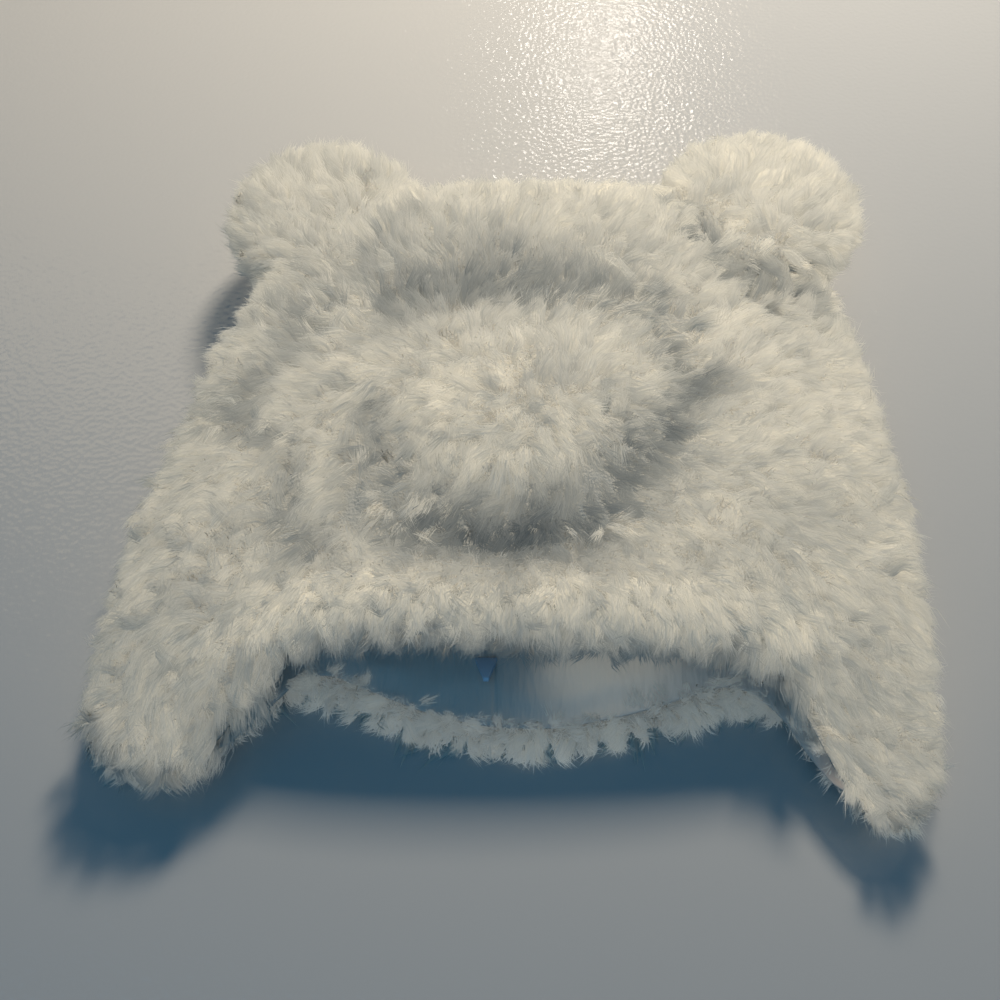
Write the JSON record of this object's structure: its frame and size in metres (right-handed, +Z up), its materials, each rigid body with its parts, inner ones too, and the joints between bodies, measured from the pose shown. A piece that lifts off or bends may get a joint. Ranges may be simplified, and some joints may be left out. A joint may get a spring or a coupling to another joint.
{
  "type": "bear ear hat",
  "caption": "Toddler's deep-pile fur hat with two round padded ears, two ear flaps and a smooth lining, lying flat on its back with its mouth open.",
  "frame": {"origin": "on the surface that the hat lies on, under the middle of its outline", "axes": "+Z up off the surface, the mouth of the hat faces -Y, the ears lie at +Y, +X is the wearer's left side seen from the front"},
  "size_m": [0.3068, 0.3084, 0.0574],
  "materials": {
    "fur": "matt ivory white long-pile fur",
    "lining": "smooth pale cloth",
    "label": "smooth pale woven tape, blank"
  },
  "bodies": {
    "root": {"front_panel": "fur", "back_panel": "fur", "lining_front": "lining", "lining_back": "lining", "left_ear": "fur", "right_ear": "fur", "seam_label": "label"}
  },
  "joints": []
}
